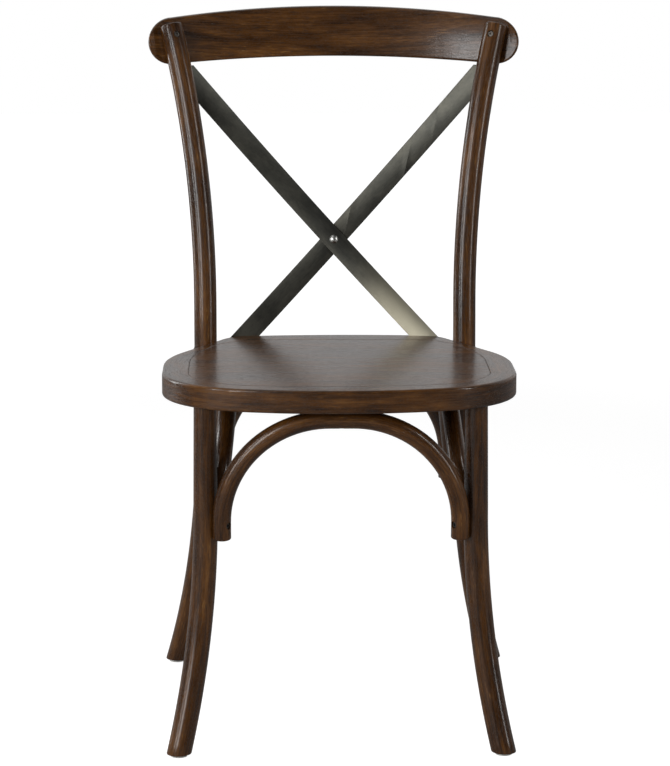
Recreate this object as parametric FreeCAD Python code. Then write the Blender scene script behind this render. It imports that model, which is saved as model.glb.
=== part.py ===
import FreeCAD, Part
import math
import os

# Cross back dining chair: bent wooden rods, a bent seat ring and flat steel cross straps.
# Millimetres. X is across the chair, the chair faces -Y and Z is up from the floor.
# Depths are measured back from the front edge of the seat; the origin is moved once, at the end.

os.makedirs("parts", exist_ok=True)

# Depth of the middle of the whole chair behind the front edge of the seat
origin_depth = 262.4

# Seat. Each outline is half a polygon from front to rear: x, depth and the radius that
# rounds that corner. The first and last corners lie on the middle of the chair
seat_top = 457.0
seat_thickness = 28.5
seat_outline = [(0, -16.7, 470), (220, 41.8, 130), (220, 246.7, 204), (137.2, 418.3, 45), (0, 434.7, 930)]
panel_outline = [(0, 29, 700), (187, 49.6, 95), (187, 254.8, 250), (144.6, 382.2, 75), (0, 388, 2000)]
seat_edge_chamfer = 2.5
groove_width = 1.4
groove_depth = 1.6

# The most that the short straight lengths of a bend leave its arc
bend_deviation = 0.4

# Rear posts, each one bent rod up to the crest rail, drawn from below the floor and cut level.
# A rod is a chain of corners, x, depth and height, each rounded by its bend radius
post_diameter = 29.5
post_corners = [
    (219.6, 476.6, -20),
    (170, 411.6, 166.5),
    (170, 371.4, 437.8),
    (170, 394.8, 678),
    (214, 450.3, 866),
]
post_bends = [1050, 480, 1200]
post_top_chamfer = 2.0

# Front legs, straight and slightly tapered under the seat, then bent forward and outward
front_leg_corners = [(204.7, 13, -20), (165.5, 60, 151.5), (165.5, 60, 428.5)]
front_leg_bend = 850
front_leg_diameter = 30.0
front_leg_top_diameter = 27.5
front_taper_start = 300.0
tenon_diameter = 20.0
tenon_length = 20.0

# Feet
glide_diameter = 20.0
glide_thickness = 3.0

# Crest rail
crest_top = 887.0
crest_height = 65.0
crest_half_length = 243.5
crest_end_radius = 30.0
crest_end_drop = 12.5
crest_thickness = 18.0
crest_bend_radius = 560.0
crest_tilt = 14.0
crest_edge_chamfer = 2.0
crest_housing = 4.0

# Steel cross straps
strap_width = 27.0
strap_thickness = 3.0
strap_bend_radius = 560.0
strap_upper_x = 191.5
strap_upper_z = 800.0
strap_upper_depth = 448.5
strap_lower_x = 131.5
strap_lower_z = 443.0
strap_lower_depth = 412.0
strap_crossing_z = 582.0
strap_lower_end = 433.0
strap_end_x = 210.0
strap_crest_gap = 1.5
strap_notch_reach = 30.0
rivet_shank = 6.0
rivet_head = 12.0
rivet_head_height = 3.0

# Bent arches between the legs, each straight for a short way up from its ends
arch_diameter = 22.5
arch_end_height = 266.0
arch_end_chamfer = 1.5
front_arch_half = 145.5
front_arch_depth = 47.0
front_arch_straight = 21.4
front_arch_lean = 7.0
rear_arch_half = 150.0
rear_arch_depth = 409.0
rear_arch_straight = 32.3
side_arch_front_x = 155.5
side_arch_front_depth = 82.0
side_arch_rear_x = 159.0
side_arch_rear_depth = 374.0
side_arch_straight = 22.4
side_arch_lean = 7.0

# Fasteners
screw_shank = 4.5
screw_head = 8.5
screw_head_height = 3.0
screw_recess = 9.0
crest_screw_height = 852.0
crest_screw_length = 32.0
strap_screw_length = 20.0
strap_top_screw_x = 198.0
strap_bottom_screw_x = 121.0
bolt_shank = 6.0
bolt_head = 14.0
bolt_head_height = 4.0
bolt_recess_depth = 3.0
bolt_length = 46.0
bolt_head_chamfer = 1.2
recess_depth = 5.0
arch_screw_rise = 18.0
arch_screw_length = 26.0
crown_screw_length = 30.0

# Room round the chair for the blocks and boards that cut it
room_width = 1400.0
room_front = -400.0
board_front = -300.0
board_height = 300.0
sheet_height = 700.0
sheet_below = 150.0
strap_reach = 1000.0
strap_run_out = 60.0

up = FreeCAD.Vector(0, 0, 1)
parts = {}


def point(x, depth, z):
    return FreeCAD.Vector(x, depth, z)


def cylinder(start, direction, length, diameter):
    return Part.makeCylinder(diameter / 2.0, length, start, direction)


def mirrored(shape):
    return shape.mirror(FreeCAD.Vector(0, 0, 0), FreeCAD.Vector(1, 0, 0))


def slab(low, high):
    corner = FreeCAD.Vector(-room_width / 2.0, room_front, low)
    return Part.makeBox(room_width, room_width, high - low, corner)


# A chain of straight lines with its inner corners rounded
def rounded_chain(corners, radii, closed=False):
    count = len(corners)
    edges = []
    last = None
    places = range(count) if closed else range(1, count - 1)
    arcs = []
    for place, radius in zip(places, radii):
        here = corners[place]
        back = (corners[place - 1] - here).normalize()
        on = (corners[(place + 1) % count] - here).normalize()
        half_turn = (math.pi - back.getAngle(on)) / 2.0
        reach = radius * math.tan(half_turn)
        middle = (back + on).normalize() * (radius * (1.0 / math.cos(half_turn) - 1.0))
        arcs.append((here + back * reach, here + middle, here + on * reach))
    if not closed:
        arcs.insert(0, (corners[0],))
        arcs.append((corners[-1],))
    for arc in arcs:
        if last is not None and last.distanceToPoint(arc[0]) > 0.001:
            edges.append(Part.makeLine(last, arc[0]))
        if len(arc) == 3:
            edges.append(Part.Arc(*arc).toShape())
        last = arc[-1]
    if closed and last.distanceToPoint(arcs[0][0]) > 0.001:
        edges.append(Part.makeLine(last, arcs[0][0]))
    return Part.Wire(edges)


# A round rod along such a chain, its bends mitred from short straight lengths
def bent_rod(path, diameter):
    spots = [path.Edges[0].valueAt(path.Edges[0].FirstParameter)]
    for edge in path.Edges:
        steps = 1
        if edge.Curve.TypeId == "Part::GeomCircle":
            radius = edge.Curve.Radius
            steps = math.ceil(edge.Length / radius / (2.0 * math.acos(1.0 - bend_deviation / radius)))
        whole = edge.LastParameter - edge.FirstParameter
        for step in range(1, steps + 1):
            spots.append(edge.valueAt(edge.FirstParameter + whole * step / steps))
    start = (spots[1] - spots[0]).normalize()
    profile = Part.Wire([Part.makeCircle(diameter / 2.0, spots[0], start)])
    return Part.makePolygon(spots).makePipeShell([profile], True, False, 1)


# Seat
def seat_block(outline, inset, low, high):
    full = outline + [(-x, depth, radius) for x, depth, radius in outline[-2:0:-1]]
    corners = [FreeCAD.Vector(x, depth, low) for x, depth, radius in full]
    wire = rounded_chain(corners, [radius for x, depth, radius in full], True)
    if inset:
        wire = wire.makeOffset2D(-inset)
    return Part.Face(wire).extrude(FreeCAD.Vector(0, 0, high - low))


def make_seat():
    low = seat_top - seat_thickness
    whole = seat_block(seat_outline, 0, low, seat_top)
    level_edges = [edge for edge in whole.Edges if edge.BoundBox.ZLength < 0.1]
    whole = whole.makeChamfer(seat_edge_chamfer, level_edges)
    inner = seat_block(panel_outline, 0, low, seat_top)
    groove_floor = seat_top - groove_depth
    groove = seat_block(panel_outline, -groove_width / 2.0, groove_floor, seat_top + 1)
    groove = groove.cut(seat_block(panel_outline, groove_width / 2.0, groove_floor - 1, seat_top + 2))
    ring = whole.cut(inner).cut(groove)
    panel = inner.cut(groove)
    return ring, panel


# The place on a rod's middle line at a height
def place_at(path, z):
    level = Part.makePlane(room_width, room_width, FreeCAD.Vector(-room_width / 2.0, room_front, z))
    return path.distToShape(level)[1][0][0]


# Rear posts
def make_post():
    rod = bent_rod(post_path, post_diameter)
    rod = rod.cut(slab(-200, glide_thickness))
    top = FreeCAD.Vector(*post_corners[-1])
    rim = [edge for edge in rod.Edges if edge.CenterOfMass.distanceToPoint(top) < 0.01]
    return rod.makeChamfer(post_top_chamfer, rim)


# Front legs
def make_front_leg():
    top = FreeCAD.Vector(*front_leg_corners[-1])
    low = seat_top - seat_thickness
    rod = bent_rod(front_leg_path, front_leg_diameter).cut(slab(front_taper_start, 900))
    rod = rod.cut(slab(-200, glide_thickness))
    start = FreeCAD.Vector(top.x, top.y, front_taper_start)
    taper_length = low - front_taper_start
    taper = Part.makeCone(front_leg_diameter / 2.0, front_leg_top_diameter / 2.0, taper_length, start, up)
    tenon = cylinder(FreeCAD.Vector(top.x, top.y, low - 1), up, tenon_length + 1, tenon_diameter)
    return rod.fuse([taper, tenon]).removeSplitter()


def make_glide(place):
    start = point(place.x, place.y, 0)
    return cylinder(start, up, glide_thickness, glide_diameter)


# Crest rail, cut from a bent board by its front outline, leaning back with the posts
def crest_frame():
    return FreeCAD.Rotation(FreeCAD.Vector(1, 0, 0), -crest_tilt)


def crest_front_depth():
    contact = place_at(post_path, crest_top - crest_height / 2.0)
    sag = crest_bend_radius - math.sqrt(crest_bend_radius ** 2 - contact.x ** 2)
    return contact.y + post_diameter / 2.0 - crest_housing + sag


def crest_outline():
    half_round = crest_half_length - crest_end_radius
    low = crest_top - crest_height
    end_high = crest_top - crest_end_drop
    end_low = end_high - 2 * crest_end_radius
    top_middle = FreeCAD.Vector(0, board_front, crest_top)
    right_top = FreeCAD.Vector(half_round, board_front, end_high)
    left_top = FreeCAD.Vector(-half_round, board_front, end_high)
    right_low = FreeCAD.Vector(half_round, board_front, end_low)
    left_low = FreeCAD.Vector(-half_round, board_front, end_low)
    right_end = FreeCAD.Vector(crest_half_length, board_front, end_low + crest_end_radius)
    left_end = FreeCAD.Vector(-crest_half_length, board_front, end_low + crest_end_radius)
    low_middle = FreeCAD.Vector(0, board_front, low)
    edges = [
        Part.Arc(left_top, top_middle, right_top).toShape(),
        Part.Arc(right_top, right_end, right_low).toShape(),
        Part.Arc(right_low, low_middle, left_low).toShape(),
        Part.Arc(left_low, left_end, left_top).toShape(),
    ]
    return Part.Face(Part.Wire(edges)).extrude(FreeCAD.Vector(0, room_width, 0))


def make_crest():
    middle = crest_top - crest_height / 2.0
    centre = FreeCAD.Vector(0, -crest_bend_radius, -board_height / 2.0)
    outer = Part.makeCylinder(crest_bend_radius + crest_thickness, board_height, centre)
    hollow = Part.makeCylinder(crest_bend_radius, board_height, centre)
    board = outer.cut(hollow)
    board.Placement = FreeCAD.Placement(FreeCAD.Vector(0, crest_front_depth(), middle), crest_frame())
    rail = board.common(crest_outline())
    return rail.makeChamfer(crest_edge_chamfer, rail.Edges)


# Steel straps, both cut from one bent sheet that leans back with the posts
def strap_lean():
    upper_sag = strap_upper_x ** 2 / (2.0 * strap_bend_radius)
    lower_sag = strap_lower_x ** 2 / (2.0 * strap_bend_radius)
    run = strap_upper_depth + upper_sag - strap_lower_depth - lower_sag
    return math.degrees(math.atan(run / (strap_upper_z - strap_lower_z)))


def sheet(front, back):
    lower_sag = strap_lower_x ** 2 / (2.0 * strap_bend_radius)
    foot = FreeCAD.Vector(0, strap_lower_depth + lower_sag, strap_lower_z)
    centre = FreeCAD.Vector(0, -strap_bend_radius, -sheet_below)
    outer = Part.makeCylinder(strap_bend_radius + back, sheet_height, centre)
    hollow = Part.makeCylinder(strap_bend_radius + front, sheet_height, centre)
    bent = outer.cut(hollow)
    bent.Placement = FreeCAD.Placement(foot, FreeCAD.Rotation(FreeCAD.Vector(1, 0, 0), -strap_lean()))
    return bent


# The flat shape of one strap, run on past both of its ends
def strap_band(side):
    upper = FreeCAD.Vector(-side * strap_upper_x, 0, strap_upper_z)
    middle = FreeCAD.Vector(0, 0, strap_crossing_z)
    lower = FreeCAD.Vector(side * strap_lower_x, 0, strap_lower_z)
    line = Part.BSplineCurve()
    line.interpolate([upper, middle, lower])
    first = []
    second = []
    steps = 10
    for step in range(-1, steps + 2):
        share = min(1.0, max(0.0, step / steps))
        where = line.FirstParameter + share * (line.LastParameter - line.FirstParameter)
        along = line.tangent(where)[0]
        beyond = step / steps - share
        spot = line.value(where) + along * strap_run_out * beyond * steps
        across = FreeCAD.Vector(along.z, 0, -along.x) * (strap_width / 2.0)
        first.append(spot + across)
        second.append(spot - across)
    right = Part.BSplineCurve()
    right.interpolate(first)
    left = Part.BSplineCurve()
    left.interpolate(second)
    ends = [Part.makeLine(first[-1], second[-1]), Part.makeLine(second[0], first[0])]
    wire = Part.Wire(Part.__sortEdges__([right.toShape(), left.toShape()] + ends))
    return Part.Face(wire).extrude(FreeCAD.Vector(0, strap_reach, 0))


def make_strap(side, front, back):
    upper_end = crest_top - crest_end_drop - 2 * crest_end_radius - strap_crest_gap
    corner = FreeCAD.Vector(-strap_end_x, room_front, strap_lower_end)
    room = Part.makeBox(2 * strap_end_x, room_width, upper_end - strap_lower_end, corner)
    return sheet(front, back).common(strap_band(side)).common(room)


# Arches
def arch(first, second, straight, lean, lean_way):
    along = (second - first).normalize()
    half = (second - first).Length / 2.0
    middle = (first + second) * 0.5
    turn = math.radians(lean)
    rise = up * math.cos(turn) + lean_way * math.sin(turn)
    crown = (seat_top - seat_thickness - arch_diameter / 2.0 - arch_end_height) / math.cos(turn)

    def spot(s, t):
        return middle + along * s + rise * t

    corners = [spot(-half, 0), spot(-half, crown), spot(half, crown), spot(half, 0)]
    rod = bent_rod(rounded_chain(corners, [crown - straight, crown - straight]), arch_diameter)
    tips = [corners[0], corners[3]]
    rims = [edge for edge in rod.Edges if min(edge.CenterOfMass.distanceToPoint(tip) for tip in tips) < 0.01]
    return rod.makeChamfer(arch_end_chamfer, rims)


def cross_frame():
    return FreeCAD.Rotation(FreeCAD.Vector(1, 0, 0), -strap_lean())


# A spot on the bent sheet: across the chair, up the sheet from the seat, and behind its middle
def sheet_spot(x, z, offset):
    turn = cross_frame()
    lower_sag = strap_lower_x ** 2 / (2.0 * strap_bend_radius)
    foot = FreeCAD.Vector(0, strap_lower_depth + lower_sag, strap_lower_z)
    reach = math.sqrt((strap_bend_radius + offset) ** 2 - x * x) - strap_bend_radius
    lean = math.radians(strap_lean())
    climb = (z - strap_lower_z + reach * math.sin(lean)) / math.cos(lean)
    return foot + turn.multVec(FreeCAD.Vector(x, reach, climb))


# The direction straight back through a board or sheet bent about an upright line
def back_through(x, bend_radius, frame):
    across = x / bend_radius
    return frame.multVec(FreeCAD.Vector(across, math.sqrt(1 - across * across), 0))


# One rivet through both straps, with a domed head on each face
def make_rivet():
    seat = sheet_spot(0, strap_crossing_z, 0)
    way = back_through(0, strap_bend_radius, cross_frame())
    half = strap_thickness
    dome_radius = ((rivet_head / 2.0) ** 2 + rivet_head_height ** 2) / (2.0 * rivet_head_height)
    body = cylinder(seat - way * half, way, 2 * half, rivet_shank)
    for side in (-1, 1):
        face = seat + way * (side * half)
        centre = face - way * (side * (dome_radius - rivet_head_height))
        ball = Part.makeSphere(dome_radius, centre)
        cap = ball.common(cylinder(face, way * side, rivet_head_height + 1, rivet_head))
        body = body.fuse(cap)
    return body.removeSplitter(), cylinder(seat - way * (half + 1), way, 2 * half + 2, rivet_shank)


# A round recess drilled from in front of a surface
def pocket(surface, way, depth, diameter):
    return cylinder(surface - way * diameter, way, depth + diameter, diameter)


# A screw whose head rests on a face at the start and points into the wood along the way
def screw(start, way, length):
    shank = cylinder(start, way, length, screw_shank)
    head = cylinder(start, way.negative(), screw_head_height, screw_head)
    return shank.fuse(head).removeSplitter(), shank


# A screw sunk below the surface of a rod, and the hole and recess that it needs
def recessed_screw(surface, way, length):
    start = surface + way * recess_depth
    body, hole = screw(start, way, length)
    return body, hole.fuse(pocket(surface, way, recess_depth, screw_recess))


def arch_end_screw(arch_centre, leg_centre):
    way = (leg_centre - arch_centre).normalize()
    surface = arch_centre - way * (arch_diameter / 2.0)
    return recessed_screw(surface, way, arch_screw_length)


def crown_screw(x, depth):
    low = seat_top - seat_thickness - arch_diameter
    return recessed_screw(point(x, depth, low), up, crown_screw_length)


# The bolt that goes inward through a post and the seat ring's edge, square to that edge
def make_bolt():
    height = seat_top - seat_thickness / 2.0
    centre = place_at(post_path, height)
    first = FreeCAD.Vector(*seat_outline[2][:2], 0)
    second = FreeCAD.Vector(*seat_outline[3][:2], 0)
    edge = (second - first).normalize()
    way = FreeCAD.Vector(-edge.y, edge.x, 0)
    if way.x > 0:
        way = way.negative()
    surface = centre - way * (post_diameter / 2.0)
    start = surface + way * bolt_recess_depth
    shank = cylinder(start, way, bolt_length, bolt_shank)
    head = cylinder(start, way.negative(), bolt_head_height, bolt_head)
    rim = start - way * bolt_head_height
    circles = [edge for edge in head.Edges if len(edge.Vertexes) == 1]
    outer = [edge for edge in circles if edge.CenterOfMass.distanceToPoint(rim) < 0.01]
    head = head.makeChamfer(bolt_head_chamfer, outer)
    recess = pocket(surface, way, bolt_recess_depth, bolt_head)
    return shank.fuse(head).removeSplitter(), shank.fuse(recess)


def group(shapes):
    return Part.makeCompound(shapes)


# The chair put together
arch_low = arch_end_height + arch_screw_rise
inward = point(-1, 0, 0)
forward = point(0, -1, 0)

post_path = rounded_chain([FreeCAD.Vector(*corner) for corner in post_corners], post_bends)
front_leg_path = rounded_chain([FreeCAD.Vector(*corner) for corner in front_leg_corners], [front_leg_bend])
ring, panel = make_seat()
right_post = make_post()
left_post = mirrored(right_post)
right_leg = make_front_leg()
left_leg = mirrored(right_leg)
crest = make_crest()
front_strap = make_strap(1, -strap_thickness, 0)
rear_strap = make_strap(-1, 0, strap_thickness)
front_strap_notch = make_strap(1, -strap_thickness, strap_notch_reach)
rear_strap_notch = make_strap(-1, 0, strap_notch_reach)
strap_notches = group([front_strap_notch, rear_strap_notch])
rivet, rivet_hole = make_rivet()
front_strap = front_strap.cut(rivet_hole)
rear_strap = rear_strap.cut(rivet_hole)
rivet = rivet.cut(group([front_strap, rear_strap]))

ring = ring.cut(group([right_leg, left_leg]))
panel = panel.cut(group([right_leg, left_leg]))
ring = ring.cut(strap_notches)
right_post = right_post.cut(group([ring, crest])).cut(strap_notches)
left_post = left_post.cut(group([ring, crest])).cut(strap_notches)

front_ends = [point(x, front_arch_depth, arch_end_height) for x in (-front_arch_half, front_arch_half)]
rear_ends = [point(x, rear_arch_depth, arch_end_height) for x in (-rear_arch_half, rear_arch_half)]
side_front_end = point(side_arch_front_x, side_arch_front_depth, arch_end_height)
side_rear_end = point(side_arch_rear_x, side_arch_rear_depth, arch_end_height)
front_arch = arch(front_ends[0], front_ends[1], front_arch_straight, front_arch_lean, forward)
front_arch = front_arch.cut(group([left_leg, right_leg]))
rear_arch = arch(rear_ends[0], rear_ends[1], rear_arch_straight, 0, forward)
rear_arch = rear_arch.cut(group([left_post, right_post]))
right_arch = arch(side_front_end, side_rear_end, side_arch_straight, side_arch_lean, inward)
right_arch = right_arch.cut(group([right_leg, right_post]))
left_arch = mirrored(right_arch)

leg_spot = place_at(front_leg_path, arch_low)
post_spot = place_at(post_path, arch_low)
side_shift = inward * (arch_screw_rise * math.tan(math.radians(side_arch_lean)))
front_shift = forward * (arch_screw_rise * math.tan(math.radians(front_arch_lean)))
lift = up * arch_screw_rise
front_leg_screw, front_leg_hole = arch_end_screw(front_ends[1] + lift + front_shift, leg_spot)
rear_leg_screw, rear_leg_hole = arch_end_screw(rear_ends[1] + lift, post_spot)
side_front_screw, side_front_hole = arch_end_screw(side_front_end + lift + side_shift, leg_spot)
side_rear_screw, side_rear_hole = arch_end_screw(side_rear_end + lift + side_shift, post_spot)

crown_rise = seat_top - seat_thickness - arch_diameter / 2.0 - arch_end_height
front_crown = front_arch_depth - crown_rise * math.tan(math.radians(front_arch_lean))
side_crown_shift = crown_rise * math.tan(math.radians(side_arch_lean))
side_crown = (side_arch_front_x + side_arch_rear_x) / 2.0 - side_crown_shift
side_middle = (side_arch_front_depth + side_arch_rear_depth) / 2.0
front_crown_screw, front_crown_hole = crown_screw(0, front_crown)
rear_crown_screw, rear_crown_hole = crown_screw(0, rear_arch_depth)
side_crown_screw, side_crown_hole = crown_screw(side_crown, side_middle)

crest_way = back_through(place_at(post_path, crest_screw_height).x, crest_bend_radius, crest_frame())
crest_start = place_at(post_path, crest_screw_height) - crest_way * (post_diameter / 2.0)
crest_screw, crest_hole = recessed_screw(crest_start, crest_way, crest_screw_length)

bolt, bolt_hole = make_bolt()

strap_screws = []
for side, offset in ((-1, 0.0), (1, strap_thickness)):
    x = side * strap_top_screw_x
    way = back_through(x, strap_bend_radius, cross_frame()).negative()
    strap_screws.append(screw(sheet_spot(x, strap_upper_z, offset), way, strap_screw_length))
for side, offset in ((1, 0.0), (-1, strap_thickness)):
    x = side * strap_bottom_screw_x
    way = back_through(x, strap_bend_radius, cross_frame()).negative()
    strap_screws.append(screw(sheet_spot(x, strap_lower_z, offset), way, strap_screw_length))
strap_holes = group([hole for body, hole in strap_screws])

leg_holes = group([front_leg_hole, side_front_hole])
post_holes = group([rear_leg_hole, side_rear_hole, crest_hole, bolt_hole])
ring_holes = group([front_crown_hole, rear_crown_hole, bolt_hole, mirrored(bolt_hole)])
side_holes = group([side_front_hole, side_rear_hole, side_crown_hole])

front_strap = front_strap.cut(strap_holes)
rear_strap = rear_strap.cut(strap_holes)
right_post = right_post.cut(post_holes).cut(strap_holes)
left_post = left_post.cut(mirrored(post_holes)).cut(strap_holes)
right_leg = right_leg.cut(leg_holes)
left_leg = left_leg.cut(mirrored(leg_holes))
crest = crest.cut(group([crest_hole, mirrored(crest_hole)]))
ring = ring.cut(ring_holes).cut(strap_holes)
panel = panel.cut(group([side_crown_hole, mirrored(side_crown_hole), bolt_hole, mirrored(bolt_hole)]))
front_arch = front_arch.cut(group([front_leg_hole, mirrored(front_leg_hole), front_crown_hole]))
rear_arch = rear_arch.cut(group([rear_leg_hole, mirrored(rear_leg_hole), rear_crown_hole]))
right_arch = right_arch.cut(side_holes)
left_arch = left_arch.cut(mirrored(side_holes))

front_glide = make_glide(place_at(front_leg_path, glide_thickness))
rear_glide = make_glide(place_at(post_path, glide_thickness))

parts["seat_ring"] = ring
parts["seat_panel"] = panel
parts["rear_post_left"] = left_post
parts["rear_post_right"] = right_post
parts["front_leg_left"] = left_leg
parts["front_leg_right"] = right_leg
parts["crest_rail"] = crest
parts["cross_strap_front"] = front_strap
parts["cross_strap_rear"] = rear_strap
parts["cross_rivet"] = rivet
parts["front_arch"] = front_arch
parts["rear_arch"] = rear_arch
parts["side_arch_left"] = left_arch
parts["side_arch_right"] = right_arch
parts["crest_screws"] = group([crest_screw, mirrored(crest_screw)])
parts["strap_top_screws"] = group([body for body, hole in strap_screws[:2]])
parts["strap_bottom_screws"] = group([body for body, hole in strap_screws[2:]])
parts["post_seat_bolts"] = group([bolt, mirrored(bolt)])
parts["front_arch_screws"] = group([front_leg_screw, mirrored(front_leg_screw), front_crown_screw])
parts["rear_arch_screws"] = group([rear_leg_screw, mirrored(rear_leg_screw), rear_crown_screw])
side_screws = [side_front_screw, side_rear_screw, side_crown_screw]
parts["side_arch_screws"] = group(side_screws + [mirrored(body) for body in side_screws])
parts["foot_glides"] = group([front_glide, mirrored(front_glide), rear_glide, mirrored(rear_glide)])

for name, shape in parts.items():
    shape = shape.copy()
    shape.translate(FreeCAD.Vector(0, -origin_depth, 0))
    shape.exportStep("parts/" + name + ".step")
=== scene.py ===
import math

import bpy
import numpy as np
from mathutils import Matrix, Vector


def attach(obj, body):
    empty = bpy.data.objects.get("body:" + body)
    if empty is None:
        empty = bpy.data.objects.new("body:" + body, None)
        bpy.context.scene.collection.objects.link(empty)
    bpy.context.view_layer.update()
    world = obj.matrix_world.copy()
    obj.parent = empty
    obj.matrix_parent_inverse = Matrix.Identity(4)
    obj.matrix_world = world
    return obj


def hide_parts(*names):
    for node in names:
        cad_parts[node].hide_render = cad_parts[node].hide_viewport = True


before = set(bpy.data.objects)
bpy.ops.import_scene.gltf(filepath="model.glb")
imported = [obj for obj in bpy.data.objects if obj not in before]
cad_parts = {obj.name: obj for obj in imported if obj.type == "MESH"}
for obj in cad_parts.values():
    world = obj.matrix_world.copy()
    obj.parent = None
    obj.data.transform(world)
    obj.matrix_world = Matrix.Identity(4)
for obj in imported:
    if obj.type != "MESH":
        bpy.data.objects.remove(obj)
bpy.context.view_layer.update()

scene = bpy.context.scene
scene.view_settings.view_transform = "Standard"

# The view: a chair seen from the front from a little above and a little to its left,
# far enough away that its rear legs are hardly smaller than its front legs.
PICTURE_WIDTH = 670
FOCUS_IN_PIXELS = 3141.7
SENSOR_WIDTH = 36

bpy.ops.object.camera_add(location=(-0.0927, -3.9624, 1.1216))
view = bpy.context.object
view.name = "view"
view.rotation_euler = (math.radians(79.97), 0, math.radians(-1.303))
view.data.sensor_fit = "HORIZONTAL"
view.data.sensor_width = SENSOR_WIDTH
view.data.lens = SENSOR_WIDTH * FOCUS_IN_PIXELS / PICTURE_WIDTH
scene.camera = view


# Rear posts: each a round rod of solid beech, steamed and bent, running in one piece from
# the floor past the seat up to the crest rail. Stained walnut brown, with a satin lacquer.
# The corners are points of its middle line, and each inner corner is bent to a radius.
POST_RADIUS = 0.01475
POST_CORNERS = [
    (0.2196, 0.2142, -0.02),
    (0.170, 0.1492, 0.1665),
    (0.170, 0.1090, 0.4378),
    (0.170, 0.1324, 0.678),
    (0.214, 0.1879, 0.866),
]
POST_BENDS = [1.05, 0.48, 1.2]
POST_TOP_ROUNDING = 0.0028
FOOT_ROUNDING = 0.0012
FLOOR_GAP = 0.003
ROD_SIDES = 48
LINE_STEPS = 24
CLOSE = 0.0005  # a point this near to a line or face is on it
UP = Vector((0, 0, 1))
STAIN_DARK = (0.015, 0.0048, 0.0006)
STAIN_WARM = (0.106, 0.0385, 0.0056)
STAIN_RUBBED = (0.38, 0.190, 0.058)


def all_off():
    """Out of edit mode, and nothing selected."""
    if bpy.context.object and bpy.context.object.mode != "OBJECT":
        bpy.ops.object.mode_set(mode="OBJECT")
    bpy.ops.object.select_all(action="DESELECT")


def only(piece):
    """This piece selected, and nothing else."""
    all_off()
    piece.select_set(True)
    bpy.context.view_layer.objects.active = piece


def corner_bends(corners, radii):
    """Where each bend starts, the centre and axis it turns about, and how far it turns."""
    bends = []
    for place, radius in enumerate(radii, 1):
        before = (corners[place] - corners[place - 1]).normalized()
        after = (corners[place + 1] - corners[place]).normalized()
        turn = before.angle(after)
        axis = before.cross(after).normalized()
        start = corners[place] - before * (radius * math.tan(turn / 2))
        bends.append((start, start + axis.cross(before) * radius, axis, turn))
    return bends


def steamed_rod(name, corners, radii, radius, bend_steps):
    """A disc at the first corner, drawn out along the straights and spun round the bends."""
    all_off()
    way = (corners[1] - corners[0]).normalized()
    turned = way.to_track_quat("Z", "Y").to_euler()
    bpy.ops.mesh.primitive_circle_add(
        vertices=ROD_SIDES, radius=radius, fill_type="NGON", location=corners[0], rotation=turned
    )
    rod = bpy.context.object
    rod.name = name
    bpy.ops.object.transform_apply(location=True, rotation=True, scale=True)
    bpy.ops.object.mode_set(mode="EDIT")
    bpy.ops.mesh.select_all(action="SELECT")
    here = corners[0]
    for start, centre, axis, turn in corner_bends(corners, radii):
        bpy.ops.mesh.extrude_region_move(TRANSFORM_OT_translate={"value": start - here})
        bpy.ops.mesh.spin(steps=bend_steps, angle=-turn, center=centre, axis=axis)
        here = centre + Matrix.Rotation(turn, 3, axis) @ (start - centre)
    bpy.ops.mesh.extrude_region_move(TRANSFORM_OT_translate={"value": corners[-1] - here})
    bpy.ops.mesh.select_all(action="SELECT")
    bpy.ops.mesh.normals_make_consistent(inside=False)
    bpy.ops.mesh.select_all(action="DESELECT")
    bpy.ops.object.mode_set(mode="OBJECT")
    return rod


def pick(piece, kind, wanted):
    """Selects edges whose two ends are wanted, or faces whose middle is, and goes to edit mode."""
    bpy.ops.object.mode_set(mode="OBJECT")
    mesh = piece.data
    for group in (mesh.vertices, mesh.edges, mesh.polygons):
        group.foreach_set("select", [False] * len(group))
    if kind == "EDGE":
        for edge in mesh.edges:
            ends = [mesh.vertices[corner].co for corner in edge.vertices]
            edge.select = wanted(ends[0]) and wanted(ends[1])
    else:
        for face in mesh.polygons:
            face.select = wanted(face.center)
    bpy.context.view_layer.objects.active = piece
    bpy.ops.object.mode_set(mode="EDIT")
    bpy.context.tool_settings.mesh_select_mode = (False, kind == "EDGE", kind == "FACE")


def cut_plane(piece, spot, way, keep_beyond):
    """Cuts a piece at a plane and closes it there, keeping what is beyond it or before it."""
    only(piece)
    bpy.ops.object.mode_set(mode="EDIT")
    bpy.ops.mesh.select_all(action="SELECT")
    bpy.ops.mesh.bisect(
        plane_co=spot,
        plane_no=way,
        use_fill=True,
        clear_inner=keep_beyond,
        clear_outer=not keep_beyond,
    )
    bpy.ops.object.mode_set(mode="OBJECT")


def soften(piece, width, segments, wanted):
    """Rounds the edges that are wanted."""
    pick(piece, "EDGE", wanted)
    bpy.ops.mesh.bevel(offset=width, segments=segments, affect="EDGES")
    bpy.ops.object.mode_set(mode="OBJECT")


def smooth(piece, degrees=35):
    """Shades a piece smoothly, with its edges sharp from this angle up."""
    only(piece)
    bpy.ops.object.shade_smooth_by_angle(angle=math.radians(degrees))


def middle_line(corners, radii):
    """The points of a rod's middle line, along its straights and bends."""
    line = [corners[0]]
    for start, centre, axis, turn in corner_bends(corners, radii):
        for step in range(LINE_STEPS + 1):
            turned = Matrix.Rotation(turn * step / LINE_STEPS, 3, axis)
            line.append(centre + turned @ (start - centre))
    return line + [corners[-1]]


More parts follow.
